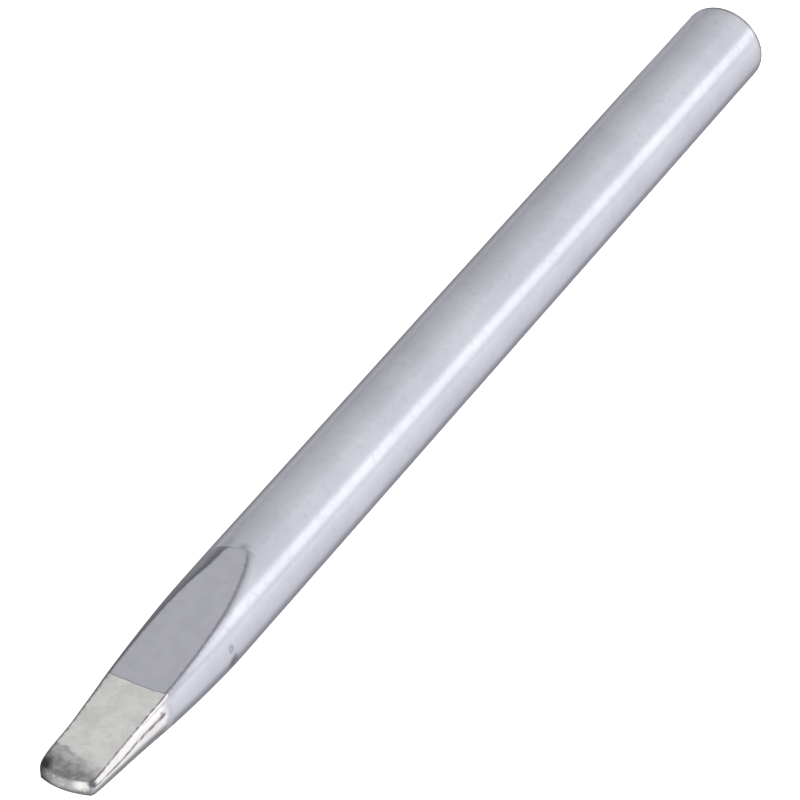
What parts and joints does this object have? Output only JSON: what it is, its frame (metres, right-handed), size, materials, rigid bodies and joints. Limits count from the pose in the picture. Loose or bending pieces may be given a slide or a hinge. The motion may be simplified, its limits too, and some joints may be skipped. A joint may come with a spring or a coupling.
{
  "type": "soldering iron bit",
  "caption": "Chisel-shaped soldering iron bit: a straight round plated shank, drawn in at the sides and ground to sloping flats, with a tinned working end.",
  "frame": {"origin": "centre of the rear end face, on the shank's axis", "axes": "+X along the shank's axis to the working end, +Z normal to the shank's axis through the middle of the upper flat, +Y across the flats. The bit lies on its shank with its flats facing up and down"},
  "size_m": [0.076, 0.005, 0.005],
  "materials": {
    "copper": "satin",
    "iron": "matte",
    "nickel": "satin",
    "chrome": "satin",
    "tin": "gloss"
  },
  "bodies": {
    "root": {"copper_core": "copper", "iron_plating": "iron", "nickel_plating": "nickel", "chrome_plating": "chrome", "tin_coating": "tin"}
  },
  "joints": []
}
